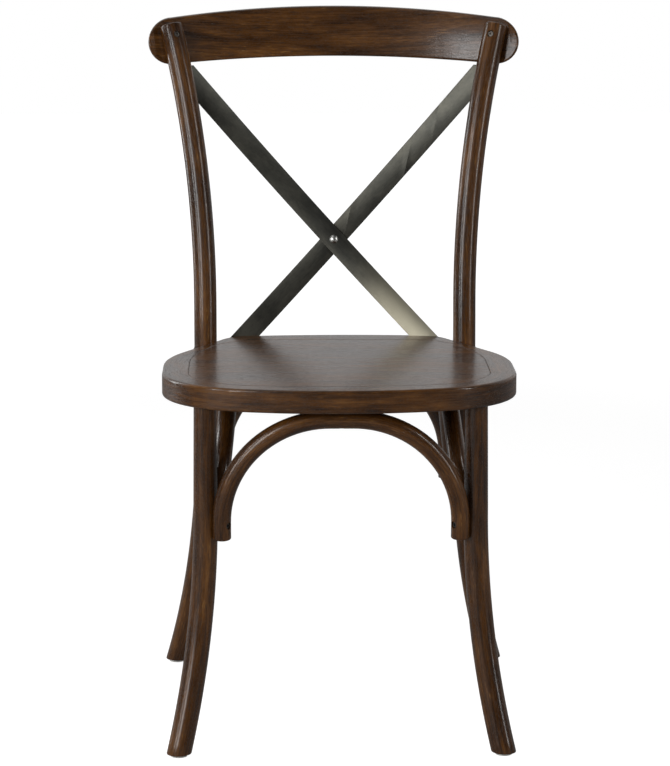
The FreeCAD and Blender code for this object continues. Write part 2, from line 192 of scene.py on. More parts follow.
def lay_grain(piece, line, side, shift):
    """Keeps with each point how far across the unbent wood it is, and how far along it.

    Side is a way across the wood, and shift the place in the figure that the piece is cut from.
    """
    count = len(piece.data.vertices)
    spots = np.zeros(count * 3)
    piece.data.vertices.foreach_get("co", spots)
    spots = spots.reshape(-1, 3)
    line = np.array([list(spot) for spot in line])
    starts, runs = line[:-1], np.diff(line, axis=0)
    lengths = np.linalg.norm(runs, axis=1)
    ways = runs / lengths[:, None]
    before = np.concatenate([[0.0], np.cumsum(lengths)[:-1]])
    off = spots[:, None, :] - starts[None]
    along = np.clip((off * ways[None]).sum(2), 0, lengths[None])
    away = np.linalg.norm(off - along[:, :, None] * ways[None], axis=2)
    near = away.argmin(1)
    picked = np.arange(count)
    rest = off[picked, near] - along[picked, near, None] * ways[near]
    side = np.array(list(side), float)
    other = np.cross(ways[near], side)
    lengthwise = before[near] + along[picked, near]
    laid = np.stack([rest @ side + shift, (rest * other).sum(1), lengthwise + shift], axis=1)
    kept = piece.data.attributes.new("grain", "FLOAT_VECTOR", "POINT")
    kept.data.foreach_set("vector", laid.astype(np.float32).ravel())


class Tone:
    """A value in a finish. Sums, differences and products of tones are Math nodes."""

    def __init__(self, tree, socket=None):
        self.tree = tree
        self.socket = socket

    def node(self, kind, settings=None, inputs=None, output=0):
        """A new node of a kind: its settings, its sockets' values or tones, and its output."""
        made = self.tree.nodes.new(kind)
        for name, value in (settings or {}).items():
            setattr(made, name, value)
        for name, value in (inputs or {}).items():
            if isinstance(value, Tone):
                self.tree.links.new(value.socket, made.inputs[name])
            else:
                made.inputs[name].default_value = value
        return Tone(self.tree, made.outputs[output])

    def also(self, output):
        """Another output of the node that this tone comes from."""
        return Tone(self.tree, self.socket.node.outputs[output])

    def maths(self, operation, first, second):
        return self.node("ShaderNodeMath", {"operation": operation}, {0: first, 1: second})

    def __add__(self, other):
        return self.maths("ADD", self, other)

    def __sub__(self, other):
        return self.maths("SUBTRACT", self, other)

    def __rsub__(self, other):
        return self.maths("SUBTRACT", other, self)

    def __mul__(self, other):
        return self.maths("MULTIPLY", self, other)

    __radd__ = __add__
    __rmul__ = __mul__

    def between(self, low, high):
        """0 at low and under, 1 at high and over."""
        settings = {"clamp": True, "interpolation_type": "SMOOTHSTEP"}
        inputs = {"Value": self, "From Min": low, "From Max": high}
        return self.node("ShaderNodeMapRange", settings, inputs)

    def stretched(self, scale):
        return self.node("ShaderNodeMapping", None, {"Vector": self, "Scale": scale})

    def noise(self, scale, detail, rough):
        inputs = {"Vector": self, "Scale": scale, "Detail": detail, "Roughness": rough}
        return self.node("ShaderNodeTexNoise", None, inputs)

    def mixed(self, first, second):
        """A colour between two others, by this tone. Inputs 6 and 7 are the node's colours."""
        first, second = [c if isinstance(c, Tone) else (*c, 1) for c in (first, second)]
        inputs = {"Factor": self, 6: first, 7: second}
        return self.node("ShaderNodeMix", {"data_type": "RGBA"}, inputs, 2)

    def bump(self, strength, distance):
        inputs = {"Height": self, "Strength": strength, "Distance": distance}
        return self.node("ShaderNodeBump", None, inputs)


def finish(name, constants):
    """A new finish: the shader, set to what is the same all over, and a tone to start from."""
    made = bpy.data.materials.new(name)
    made.use_nodes = True
    shader = made.node_tree.nodes["Principled BSDF"]
    for socket, value in constants.items():
        shader.inputs[socket].default_value = value
    return made, shader, Tone(made.node_tree)


def feed(shader, socket, tone):
    """Links a tone to a socket of a shader."""
    tone.tree.links.new(tone.socket, shader.inputs[socket])


def stained_wood():
    """Walnut stain under satin lacquer: long streaks, open pores filled darker, rubbed flecks."""
    lacquer = {"Coat Weight": 0.45, "Coat Roughness": 0.2, "Coat IOR": 1.5}
    made, shader, start = finish(
        "walnut_stain", {"IOR": 1.45, "Specular IOR Level": 0.25, **lacquer}
    )
    wood = start.node("ShaderNodeAttribute", {"attribute_name": "grain"}, None, "Vector")

    def figure(drawn_out, scale, detail, rough):
        """Noise drawn out along the grain: the smaller the first number, the longer."""
        return wood.stretched((1, 1, drawn_out)).noise(scale, detail, rough)

    streaks = figure(0.07, 110, 5, 0.65)
    fibre = figure(0.03, 560, 3, 0.6)
    pores = figure(0.06, 1000, 2, 0.5).between(0.56, 0.70)
    flecks = figure(0.09, 620, 3, 0.55).between(0.58, 0.72)
    open_pores = figure(0.22, 1500, 2, 0.6).between(0.52, 0.66)
    cloud = figure(0.3, 26, 4, 0.65)
    rubbed = cloud.between(0.42, 0.68) * (flecks * 0.45 + streaks.between(0.45, 0.75) * 0.18)
    depth = (streaks * 0.5 + fibre * 0.2 + cloud * 0.45).between(0.42, 0.76)
    colour = depth.mixed(STAIN_DARK, STAIN_WARM)
    colour = rubbed.mixed(colour, STAIN_RUBBED)
    colour = (pores * 0.6 + open_pores * 0.25).mixed(colour, [c * 0.3 for c in STAIN_DARK])
    relief = fibre * 0.3 + (1 - pores) * 0.5 + (1 - open_pores) * 0.5
    feed(shader, "Base Color", colour)
    feed(shader, "Roughness", cloud * 0.2 + fibre * 0.1 + (pores + open_pores) * 0.15 + 0.12)
    feed(shader, "Normal", relief.bump(0.6, 0.0004))
    return made


WALNUT = stained_wood()

# The grain is laid on posts and arches once they are bored, because boring drops it.
bored_rods = []
for side, name, node, shift in (
    (1, "post_right", "rear_post_right", 0.0),
    (-1, "post_left", "rear_post_left", 1.3),
):
    corners = [Vector((side * x, y, z)) for x, y, z in POST_CORNERS]
    post = steamed_rod(name, corners, POST_BENDS, POST_RADIUS, bend_steps=22)
    cut_plane(post, (0, 0, FLOOR_GAP), UP, keep_beyond=True)
    top = corners[-1]
    soften(post, POST_TOP_ROUNDING, 4, lambda spot: (spot - top).length < POST_RADIUS + CLOSE)
    soften(post, FOOT_ROUNDING, 2, lambda spot: spot.z < FLOOR_GAP + CLOSE)
    bored_rods.append((post, middle_line(corners, POST_BENDS), Vector((0, 1, 0)), shift))
    post.data.materials.append(WALNUT)
    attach(post, "root")
    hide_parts(node)


# Front legs: shorter bent rods of the same wood, straight and a little slimmer up to the
# seat, where a turned tenon enters the ring, and bent forward and outward at the foot.
LEG_RADIUS = 0.015
LEG_TOP_RADIUS = 0.01375
LEG_CORNERS = [(0.2047, -0.2494, -0.02), (0.1655, -0.2024, 0.1515), (0.1655, -0.2024, 0.429)]
LEG_BENDS = [0.85]
LEG_TAPER_START = 0.300

for side, name, node, shift in (
    (1, "leg_right", "front_leg_right", 2.1),
    (-1, "leg_left", "front_leg_left", 3.4),
):
    corners = [Vector((side * x, y, z)) for x, y, z in LEG_CORNERS]
    top = corners[-1]
    leg = steamed_rod(name, corners, LEG_BENDS, LEG_RADIUS, bend_steps=18)
    cut_plane(leg, (0, 0, FLOOR_GAP), UP, keep_beyond=True)
    bpy.ops.object.mode_set(mode="EDIT")
    bpy.ops.mesh.select_all(action="SELECT")
    bpy.ops.mesh.bisect(plane_co=(0, 0, LEG_TAPER_START), plane_no=UP)
    pick(leg, "FACE", lambda spot: spot.z > top.z - CLOSE)
    slim = LEG_TOP_RADIUS / LEG_RADIUS
    bpy.ops.transform.resize(value=(slim, slim, 1), center_override=top)
    bpy.ops.object.mode_set(mode="OBJECT")
    soften(leg, FOOT_ROUNDING, 2, lambda spot: spot.z < FLOOR_GAP + CLOSE)
    lay_grain(leg, middle_line(corners, LEG_BENDS), Vector((0, 1, 0)), shift)
    smooth(leg)
    leg.data.materials.append(WALNUT)
    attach(leg, "root")
    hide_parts(node)


# Arches: thinner bent rods that brace the legs, one at the front, one at the rear and one on
# each side. Each end is screwed to a leg, and the crown is screwed up into the seat.
# A row has its ends, the way and angle of its lean, its straight ends and its place in the figure.
SEAT_LOW = 0.4285
ARCH_RADIUS = 0.01125
ARCH_END_HEIGHT = 0.266
ARCH_END_ROUNDING = 0.0016
ARCH_CROWN = SEAT_LOW - ARCH_RADIUS - ARCH_END_HEIGHT
ARCH_LEAN = math.radians(7)
FRONT_ENDS = ((-0.1455, -0.2154), (0.1455, -0.2154))
REAR_ENDS = ((-0.150, 0.1466), (0.150, 0.1466))
RIGHT_ENDS = ((0.1555, -0.1804), (0.159, 0.1116))
LEFT_ENDS = ((-0.1555, -0.1804), (-0.159, 0.1116))
ARCHES = (
    ("arch_front", "front_arch", FRONT_ENDS, (0, -1), ARCH_LEAN, 0.0214, 4.2),
    ("arch_rear", "rear_arch", REAR_ENDS, (0, -1), 0.0, 0.0323, 5.1),
    ("arch_right", "side_arch_right", RIGHT_ENDS, (-1, 0), ARCH_LEAN, 0.0224, 6.6),
    ("arch_left", "side_arch_left", LEFT_ENDS, (1, 0), ARCH_LEAN, 0.0224, 7.9),
)

for name, node, pair, lean_way, lean, straight, shift in ARCHES:
    rise = Vector((lean_way[0] * math.tan(lean), lean_way[1] * math.tan(lean), 1)) * ARCH_CROWN
    ends = [Vector((*end, ARCH_END_HEIGHT)) for end in pair]
    corners = [ends[0], ends[0] + rise, ends[1] + rise, ends[1]]
    bend = rise.length - straight
    arch = steamed_rod(name, corners, [bend, bend], ARCH_RADIUS, bend_steps=28)
    near_end = ARCH_RADIUS + CLOSE
    for end in ends:
        soften(arch, ARCH_END_ROUNDING, 3, lambda spot: (spot - end).length < near_end)
    out_of_plane = (ends[1] - ends[0]).cross(rise).normalized()
    bored_rods.append((arch, middle_line(corners, [bend, bend]), out_of_plane, shift))
    arch.data.materials.append(WALNUT)
    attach(arch, "root")
    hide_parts(node)


# Screw recesses: every rod is bored where a screw or bolt goes in, so that its head lies below
# the wood. Each recess is kept as the screw's node, the bored piece, the spot on the surface
# and the way it points. Two corners of the seat's outline, in millimetres, aim the bolts.
RECESS_RADIUS = 0.0045
RECESS_DEPTH = 0.005
BOLT_RECESS_RADIUS = 0.007
BOLT_RECESS_DEPTH = 0.003
DRILL_REACH = 0.008
ARCH_SCREW_HEIGHT = 0.284
CREST_SCREW_HEIGHT = 0.852
CREST_BEND = 0.560
CREST_TILT = math.radians(14)
SEAT_TOP = 0.457
SEAT_SIDE_CORNER = (220, 246.7)
SEAT_BACK_CORNER = (137.2, 418.3)
CROWN_SCREWS = {
    "arch_front": "front_arch_screws",
    "arch_rear": "rear_arch_screws",
    "arch_right": "side_arch_screws",
    "arch_left": "side_arch_screws",
}


def spot_at(line, height):
    """Where a rod's middle line passes a height."""
    for low, high in zip(line, line[1:]):
        if min(low.z, high.z) <= height <= max(low.z, high.z):
            return low.lerp(high, (height - low.z) / (high.z - low.z))


def on_arch(end, lean_way, lean, height):
    """Where a spot between an arch's ends comes to at a height, by the arch's lean."""
    shift = (height - ARCH_END_HEIGHT) * math.tan(lean)
    return Vector((end[0] + lean_way[0] * shift, end[1] + lean_way[1] * shift, height))


def mirrored(spot):
    """The same spot or way on the other side of the chair."""
    return Vector((-spot.x, spot.y, spot.z))


def cut_with(piece, cutter, operation):
    """Cuts a piece by another, which is then thrown away."""
    only(piece)
    cut = piece.modifiers.new("cut", "BOOLEAN")
    cut.operation = operation
    cut.solver = "EXACT"
    cut.object = cutter
    bpy.ops.object.modifier_apply(modifier="cut")
    bpy.data.objects.remove(cutter)


def bore(piece, surface, way, radius, depth):
    """A round recess, by a drill that starts outside the surface and goes in to a depth."""
    all_off()
    bpy.ops.mesh.primitive_cylinder_add(
        vertices=28,
        radius=radius,
        depth=depth + DRILL_REACH,
        location=surface + way * (depth - DRILL_REACH) / 2,
        rotation=way.to_track_quat("Z", "Y").to_euler(),
    )
    drill = bpy.context.object
    bpy.ops.object.transform_apply(location=True, rotation=True, scale=True)
    cut_with(piece, drill, "DIFFERENCE")


right_post_line = middle_line([Vector(c) for c in POST_CORNERS], POST_BENDS)
post_at_arch = spot_at(right_post_line, ARCH_SCREW_HEIGHT)
leg_at_arch = Vector((*LEG_CORNERS[-1][:2], ARCH_SCREW_HEIGHT))
front_hole = on_arch(FRONT_ENDS[1], (0, -1), ARCH_LEAN, ARCH_SCREW_HEIGHT)
rear_hole = on_arch(REAR_ENDS[1], (0, -1), 0.0, ARCH_SCREW_HEIGHT)
side_front_hole, side_rear_hole = [
    on_arch(end, (-1, 0), ARCH_LEAN, ARCH_SCREW_HEIGHT) for end in RIGHT_ENDS
]

recesses = []
for node, piece, opposite, hole, target in (
    ("front_arch_screws", "arch_front", "arch_front", front_hole, leg_at_arch),
    ("rear_arch_screws", "arch_rear", "arch_rear", rear_hole, post_at_arch),
    ("side_arch_screws", "arch_right", "arch_left", side_front_hole, leg_at_arch),
    ("side_arch_screws", "arch_right", "arch_left", side_rear_hole, post_at_arch),
):
    way = (target - hole).normalized()
    surface = hole - way * ARCH_RADIUS
    recesses.append((node, piece, surface, way))
    recesses.append((node, opposite, mirrored(surface), mirrored(way)))
for name, node, pair, lean_way, lean, straight, shift in ARCHES:
    middle = ((pair[0][0] + pair[1][0]) / 2, (pair[0][1] + pair[1][1]) / 2)
    crown = on_arch(middle, lean_way, lean, ARCH_END_HEIGHT + ARCH_CROWN)
    crown.z = SEAT_LOW - 2 * ARCH_RADIUS
    recesses.append((CROWN_SCREWS[name], name, crown, UP))

tilted = Matrix.Rotation(-CREST_TILT, 3, "X")
post_at_crest = spot_at(right_post_line, CREST_SCREW_HEIGHT)
swing = post_at_crest.x / CREST_BEND
crest_way = tilted @ Vector((swing, math.sqrt(1 - swing * swing), 0))
crest_spot = post_at_crest - crest_way * POST_RADIUS
recesses.append(("crest_screws", "post_right", crest_spot, crest_way))
recesses.append(("crest_screws", "post_left", mirrored(crest_spot), mirrored(crest_way)))
for node, piece, surface, way in recesses:
    bore(bpy.data.objects[piece], surface, way, RECESS_RADIUS, RECESS_DEPTH)

post_at_seat = spot_at(right_post_line, (SEAT_LOW + SEAT_TOP) / 2)
seat_edge = (Vector((*SEAT_BACK_CORNER, 0)) - Vector((*SEAT_SIDE_CORNER, 0))).normalized()
bolt_way = Vector((-seat_edge.y, seat_edge.x, 0))
bolt_spot = post_at_seat - bolt_way * POST_RADIUS
for name, surface, way in (
    ("post_right", bolt_spot, bolt_way),
    ("post_left", mirrored(bolt_spot), mirrored(bolt_way)),
):
    bore(bpy.data.objects[name], surface, way, BOLT_RECESS_RADIUS, BOLT_RECESS_DEPTH)
for rod, line, side, shift in bored_rods:
    lay_grain(rod, line, side, shift)
    smooth(rod)


# Seat ring: one thick strip of wood bent round to the outline of the seat, its ends joined at
# the back, with rounded edges. Legs, posts and arches are all fixed to it. An outline's corners
# are in millimetres: out from the middle, back from the front edge, and the corner's radius.
ORIGIN_DEPTH = 0.2624
SEAT_ROUNDING = 0.0034
GROOVE_ROUNDING = 0.0010
ARC_STEPS = 20
SEAT_HALF = [
    (0, -16.7, 470),
    (220, 41.8, 130),
    (*SEAT_SIDE_CORNER, 204),
    (*SEAT_BACK_CORNER, 45),
    (0, 434.7, 930),
]
PANEL_HALF = [(0, 29, 700), (187, 49.6, 95), (187, 254.8, 250), (144.6, 382.2, 75), (0, 388, 2000)]


def full_outline(half):
    """All corners of an outline, from the middle of the back round by the left, and their radii."""
    whole = half[::-1] + [(-x, depth, radius) for x, depth, radius in half[1:-1]]
    corners = [Vector((x / 1000, depth / 1000 - ORIGIN_DEPTH, 0)) for x, depth, radius in whole]
    return corners, [radius / 1000 for x, depth, radius in whole]


def start_line(name, spot):
    """A single point, ready to be drawn out to a line."""
    all_off()
    bpy.ops.mesh.primitive_plane_add(size=0.01, location=spot)
    line = bpy.context.object
    line.name = name
    bpy.ops.object.transform_apply(location=True, rotation=True, scale=True)
    bpy.ops.object.mode_set(mode="EDIT")
    bpy.context.tool_settings.mesh_select_mode = (True, False, False)
    bpy.ops.mesh.select_all(action="SELECT")
    bpy.ops.mesh.merge(type="CENTER")
    return line


def close_line():
    """Joins the end of a drawn line to its start."""
    bpy.ops.mesh.select_all(action="SELECT")
    bpy.ops.mesh.remove_doubles(threshold=0.00002)
    bpy.ops.object.mode_set(mode="OBJECT")


def drawn_outline(name, half, height):
    """The outline drawn with a point that is run along the sides and spun round the corners."""
    corners, radii = full_outline(half)
    corners = [corner + UP * height for corner in corners]
    bends = corner_bends(corners[-1:] + corners + corners[:1], radii)
    line = start_line(name, bends[0][0])
    for place, (start, centre, axis, turn) in enumerate(bends):
        bpy.ops.mesh.spin(steps=ARC_STEPS, angle=-turn, center=centre, axis=axis)
        here = centre + Matrix.Rotation(turn, 3, axis) @ (start - centre)
        following = bends[(place + 1) % len(bends)][0]
        bpy.ops.mesh.extrude_region_move(TRANSFORM_OT_translate={"value": following - here})
    close_line()
    return line


def even_normals(piece):
    """Rounded edges that shade smoothly while the flat faces stay flat."""
    smooth(piece, 60)
    weighted = piece.modifiers.new("weighted", "WEIGHTED_NORMAL")
    weighted.keep_sharp = True
    bpy.ops.object.modifier_apply(modifier="weighted")


def bevel_sharp(piece, width, segments, degrees, wanted=None):
    """Rounds the edges that are sharper than an angle, all of them or those that are wanted."""
    only(piece)
    bpy.ops.object.mode_set(mode="EDIT")
    bpy.context.tool_settings.mesh_select_mode = (False, True, False)
    bpy.ops.mesh.select_all(action="DESELECT")
    bpy.ops.mesh.edges_select_sharp(sharpness=math.radians(degrees))
    if wanted:
        bpy.ops.object.mode_set(mode="OBJECT")
        for edge in piece.data.edges:
            ends = [piece.data.vertices[corner].co for corner in edge.vertices]
            edge.select = edge.select and wanted(ends[0]) and wanted(ends[1])
        bpy.ops.object.mode_set(mode="EDIT")
    bpy.ops.mesh.bevel(offset=width, segments=segments, affect="EDGES")
    bpy.ops.object.mode_set(mode="OBJECT")


def joined(pieces, name):
    """Several objects made one."""
    all_off()
    for piece in pieces:
        piece.select_set(True)
    bpy.context.view_layer.objects.active = pieces[0]
    bpy.ops.object.join()
    pieces[0].name = name
    return pieces[0]


def raise_faces(piece, lift):
    """A flat shape drawn out to a solid."""
    only(piece)
    bpy.ops.object.mode_set(mode="EDIT")
    bpy.context.tool_settings.mesh_select_mode = (False, False, True)
    bpy.ops.mesh.select_all(action="SELECT")
    bpy.ops.mesh.extrude_region_move(TRANSFORM_OT_translate={"value": lift})
    bpy.ops.mesh.select_all(action="SELECT")
    bpy.ops.mesh.normals_make_consistent(inside=False)
    bpy.ops.object.mode_set(mode="OBJECT")


def fill_lines(piece):
    """A flat shape between the lines of an outline."""
    only(piece)
    bpy.ops.object.mode_set(mode="EDIT")
    bpy.ops.mesh.select_all(action="SELECT")
    bpy.ops.mesh.fill()
    bpy.ops.object.mode_set(mode="OBJECT")


outer = drawn_outline("seat_ring_wood", SEAT_HALF, SEAT_LOW)
inner = drawn_outline("seat_ring_inside", PANEL_HALF, SEAT_LOW)
ring_line = [vertex.co.copy() for vertex in outer.data.vertices]
inside_spots = [vertex.co.copy() for vertex in inner.data.vertices]
ring = joined([outer, inner], "seat_ring_wood")
fill_lines(ring)
raise_faces(ring, UP * (SEAT_TOP - SEAT_LOW))


def on_outside(spot):
    """Away from the line where ring and board meet."""
    return min((spot.xy - other.xy).length for other in inside_spots) > CLOSE


def on_top(spot):
    """On the upper face of the seat."""
    return spot.z > SEAT_TOP - CLOSE


bevel_sharp(ring, SEAT_ROUNDING, 4, 40, on_outside)
bevel_sharp(ring, GROOVE_ROUNDING, 3, 60, lambda spot: on_top(spot) and not on_outside(spot))
lay_grain(ring, ring_line + ring_line[:1], UP, shift=9.3)
even_normals(ring)
ring.data.materials.append(WALNUT)
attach(ring, "root")
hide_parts("seat_ring")


# Seat panel: a flat board let into the ring, its grain running from side to side, with a fine
# groove round it where the rounded edges of board and ring meet.
PANEL_GRAIN = [Vector((-0.3, 0, SEAT_TOP)), Vector((0.3, 0, SEAT_TOP))]

panel = drawn_outline("seat_panel_wood", PANEL_HALF, SEAT_LOW)
fill_lines(panel)
raise_faces(panel, UP * (SEAT_TOP - SEAT_LOW))
bevel_sharp(panel, GROOVE_ROUNDING, 3, 60, on_top)
lay_grain(panel, PANEL_GRAIN, UP, shift=11.7)
even_normals(panel)
panel.data.materials.append(WALNUT)
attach(panel, "root")
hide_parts("seat_panel")


# Crest rail: a board bent in one curve, sawn to a shape that is deeper in the middle and round
# at the ends, its edges rounded over. It leans back with the posts and lies against their backs.
# The blank is bent wide, and sawn with a pattern that runs through from before the chair.
CREST_TOP = 0.887
CREST_HEIGHT = 0.065
CREST_HALF = 0.2435
CREST_END = 0.030
CREST_DROP = 0.0125
CREST_THICKNESS = 0.018
CREST_HOUSING = 0.004
CREST_ROUNDING = 0.0038
CREST_BLANK = (-0.08, 0.08)
CREST_HALF_TURN = math.radians(28)
BEND_LINE_STEPS = 20
PATTERN_FRONT = -0.3
PATTERN_RUN = Vector((0, 1.0, 0))


def bent_board(name, foot, turned, bend, front, back, low, high, half_turn, steps):
    """A tall narrow section set at one end and spun about the upright axis of the bend."""
    all_off()
    bpy.ops.mesh.primitive_plane_add(size=1)
    board = bpy.context.object
    board.name = name
    section = Matrix.Rotation(math.radians(90), 4, "Y")
    size = Matrix.Diagonal((1, back - front, high - low, 1))
    place = Matrix.Translation((0, bend + (front + back) / 2, (low + high) / 2))
    swing = Matrix.Rotation(half_turn, 4, "Z")
    stand = Matrix.Translation(foot) @ turned.to_4x4() @ Matrix.Translation((0, -bend, 0))
    board.matrix_world = stand @ swing @ place @ size @ section
    bpy.ops.object.transform_apply(location=True, rotation=True, scale=True)
    bpy.ops.object.mode_set(mode="EDIT")
    bpy.ops.mesh.select_all(action="SELECT")
    bpy.ops.mesh.spin(
        steps=steps,
        angle=2 * half_turn,
        center=foot + turned @ Vector((0, -bend, 0)),
        axis=turned @ UP,
    )
    bpy.ops.mesh.select_all(action="SELECT")
    bpy.ops.mesh.normals_make_consistent(inside=False)
    bpy.ops.object.mode_set(mode="OBJECT")
    return board


def arc_through(first, middle, last):
    """Centre, axis and turn of the arc through three points."""
    a, b = middle - first, last - first
    normal = a.cross(b)
    lead = a.length_squared * b - b.length_squared * a
    centre = first + lead.cross(normal) / (2 * normal.length_squared)
    axis = normal.normalized()
    begin, end = first - centre, last - centre
    turn = math.atan2(begin.cross(end).dot(axis), begin.dot(end)) % (2 * math.pi)
    return centre, axis, turn


def bend_line(foot, turned, bend, half_turn):
    """The points of a bent board's middle line, from one end to the other."""
    line = []
    for step in range(2 * BEND_LINE_STEPS + 1):
        swing = half_turn * (step / BEND_LINE_STEPS - 1)
        reach = Vector((bend * math.sin(swing), bend * math.cos(swing) - bend, 0))
        line.append(foot + turned @ reach)
    return line


crest_middle = CREST_TOP - CREST_HEIGHT / 2
contact = spot_at(right_post_line, crest_middle)
sag = CREST_BEND - math.sqrt(CREST_BEND**2 - contact.x**2)
crest_foot = Vector((0, contact.y + POST_RADIUS - CREST_HOUSING + sag, crest_middle))
crest = bent_board(
    "crest_wood", crest_foot, tilted, CREST_BEND, 0, CREST_THICKNESS, *CREST_BLANK,
    CREST_HALF_TURN, steps=44
)

round_x = CREST_HALF - CREST_END
high_end = CREST_TOP - CREST_DROP
low_end = high_end - 2 * CREST_END
crest_arcs = (
    ((-round_x, high_end), (0, CREST_TOP), (round_x, high_end), 44),
    ((round_x, high_end), (CREST_HALF, high_end - CREST_END), (round_x, low_end), 20),
    ((round_x, low_end), (0, CREST_TOP - CREST_HEIGHT), (-round_x, low_end), 44),
    ((-round_x, low_end), (-CREST_HALF, high_end - CREST_END), (-round_x, high_end), 20),
)
pattern = start_line("crest_pattern", Vector((-round_x, PATTERN_FRONT, high_end)))
for *places, steps in crest_arcs:
    centre, axis, turn = arc_through(*[Vector((x, PATTERN_FRONT, z)) for x, z in places])
    bpy.ops.mesh.spin(steps=steps, angle=-turn, center=centre, axis=axis)
close_line()
bpy.ops.object.mode_set(mode="EDIT")
bpy.ops.mesh.select_all(action="SELECT")
bpy.ops.mesh.edge_face_add()
bpy.ops.object.mode_set(mode="OBJECT")
raise_faces(pattern, PATTERN_RUN)
cut_with(crest, pattern, "INTERSECT")
bevel_sharp(crest, CREST_ROUNDING, 4, 50)
crest_line = bend_line(crest_foot, tilted, CREST_BEND + CREST_THICKNESS / 2, CREST_HALF_TURN)
lay_grain(crest, crest_line, tilted @ UP, shift=13.9)
smooth(crest, 40)
crest.data.materials.append(WALNUT)
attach(crest, "root")
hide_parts("crest_rail")


# Cross back: two flat steel straps, one over the other, bent to the curve of the crest. Their
# upper ends are screwed behind the posts and their lower ends into the back of the seat ring.
STRAP_WIDTH = 0.027
STRAP_THICKNESS = 0.003
STRAP_BEND = 0.560
STRAP_UPPER = Vector((0.1915, 0, 0.800))
STRAP_LOWER = Vector((0.1315, 0, 0.443))
STRAP_CROSSING = Vector((0, 0, 0.582))
STRAP_UPPER_DEPTH = 0.4485
STRAP_LOWER_DEPTH = 0.412
STRAP_LOW_END = 0.433
STRAP_HIGH_END = 0.813
STRAP_REACH = 0.210
STRAP_SPARE = 0.06
STRAP_EDGE = 0.0005
STRAP_BLANK = (-0.06, 0.42)
STRAP_HALF_TURN = math.radians(24)
STRAP_DARK = (0.065, 0.065, 0.058)
STRAP_BLUED = (0.15, 0.145, 0.12)
# Painted light: the paler colour the straps get to the lower right, where the light falls on them.
STRAP_PAINTED_LIGHT = (0.37, 0.345, 0.265)

lower_sag = STRAP_LOWER.x**2 / (2 * STRAP_BEND)
upper_sag = STRAP_UPPER.x**2 / (2 * STRAP_BEND)
strap_run = STRAP_UPPER_DEPTH + upper_sag - STRAP_LOWER_DEPTH - lower_sag
strap_lean = math.atan(strap_run / (STRAP_UPPER.z - STRAP_LOWER.z))
strap_turned = Matrix.Rotation(-strap_lean, 3, "X")
strap_foot = Vector((0, STRAP_LOWER_DEPTH + lower_sag - ORIGIN_DEPTH, STRAP_LOWER.z))


def gunmetal():
    """Steel brushed along its length and blued, with painted light: the blueing paler to the lower
    right, where the light falls.
    """
    made, shader, start = finish("gunmetal", {"Metallic": 1.0, "IOR": 2.0})
    strip = start.node("ShaderNodeAttribute", {"attribute_name": "grain"}, None, "Vector")
    brushed = strip.stretched((1, 1, 0.012)).noise(1500, 3, 0.6)
    cloud = strip.stretched((1, 1, 0.5)).noise(26, 4, 0.6)
    stain = strip.stretched((1, 1, 0.8)).noise(90, 4, 0.7)
    depth = (cloud * 0.6 + brushed * 0.25 + stain * 0.25).between(0.35, 0.8)
    spot = start.node("ShaderNodeTexCoord", output="Object")
    rightwards = start.node("ShaderNodeSeparateXYZ", None, {"Vector": spot}, "X")
    height = rightwards.also("Z")
    # Painted light: paler to the right and lower down, where the light falls on the straps.
    painted_light = (rightwards * 8.0 - (height - 0.50) * 5.5 + cloud * 0.3).between(0.0, 1.0)
    feed(shader, "Base Color", painted_light.mixed(depth.mixed(STRAP_DARK, STRAP_BLUED), STRAP_PAINTED_LIGHT))
    feed(shader, "Roughness", brushed * 0.16 + cloud * 0.14 + 0.33)
    feed(shader, "Normal", brushed.bump(0.25, 0.00012))
    return made


GUNMETAL = gunmetal()
for name, node, side, front, back in (
    ("strap_front", "cross_strap_front", 1, -STRAP_THICKNESS, 0),
    ("strap_rear", "cross_strap_rear", -1, 0, STRAP_THICKNESS),
):
    strap = bent_board(
        name, strap_foot, strap_turned, STRAP_BEND, front, back, *STRAP_BLANK,
        STRAP_HALF_TURN, steps=40
    )
    upper = Vector((-side * STRAP_UPPER.x, PATTERN_FRONT, STRAP_UPPER.z))
    middle = Vector((0, PATTERN_FRONT, STRAP_CROSSING.z))
    lower = Vector((side * STRAP_LOWER.x, PATTERN_FRONT, STRAP_LOWER.z))
    centre, axis, turn = arc_through(upper, middle, lower)
    radius = (upper - centre).length
    more = STRAP_SPARE / radius
    start_out = Matrix.Rotation(-more, 3, axis) @ (upper - centre).normalized()
    band = start_line("strap_pattern", centre + start_out * (radius - STRAP_WIDTH / 2))
    bpy.ops.mesh.extrude_region_move(TRANSFORM_OT_translate={"value": start_out * STRAP_WIDTH})
    bpy.ops.mesh.select_all(action="SELECT")
    bpy.ops.mesh.spin(steps=24, angle=-(turn + 2 * more), center=centre, axis=axis)
    bpy.ops.object.mode_set(mode="OBJECT")
    raise_faces(band, PATTERN_RUN)
    cut_with(strap, band, "INTERSECT")
    cut_plane(strap, (0, 0, STRAP_LOW_END), UP, keep_beyond=True)
    cut_plane(strap, (0, 0, STRAP_HIGH_END), UP, keep_beyond=False)
    cut_plane(strap, (-side * STRAP_REACH, 0, 0), (-side, 0, 0), keep_beyond=False)
    bevel_sharp(strap, STRAP_EDGE, 2, 50)
    run = strap_turned @ (upper - lower)
    strip_line = [strap_foot - run * 0.2, strap_foot + run * 1.2]
    lay_grain(strap, strip_line, strap_turned @ Vector((0, 1, 0)), shift=0.4 * side)
    smooth(strap, 40)
    strap.data.materials.append(GUNMETAL)
    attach(strap, "root")
    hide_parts(node)


# Rivet: one bright steel rivet goes through the straps where they cross and holds them
# together. Its head and its hammered end are low domes, one before and one behind the straps.
RIVET_RADIUS = 0.006
RIVET_RISE = 0.003
RIVET_EDGE = 0.0004


